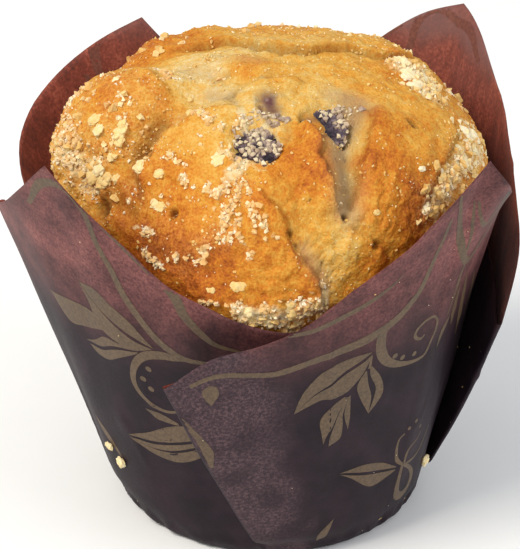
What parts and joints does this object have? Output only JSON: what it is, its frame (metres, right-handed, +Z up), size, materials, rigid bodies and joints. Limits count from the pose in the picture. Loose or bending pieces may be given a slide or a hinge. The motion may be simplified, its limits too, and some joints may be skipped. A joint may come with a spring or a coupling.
{
  "type": "berry muffin in a folded paper case",
  "caption": "Domed berry muffin with a cracked sugared crust, standing in a tulip-folded dark paper case whose four petals rise round it.",
  "frame": {"origin": "middle of the paper case's flat disc, on the surface it stands on", "axes": "+Z up, the muffin's height; -Y towards the front overlap of the case; +X to the right as seen from the front"},
  "size_m": [0.0903, 0.0896, 0.086],
  "materials": {
    "case_paper": "matt dark brown paper with a printed scroll pattern",
    "crust": "baked muffin crust, golden to orange-brown, matt",
    "berry_skin": "dark purple baked berry skin, satin"
  },
  "bodies": {
    "root": {"paper_case": "case_paper", "cake": "crust", "blueberry_1": "berry_skin", "blueberry_2": "berry_skin", "blueberry_3": "berry_skin"}
  },
  "joints": []
}
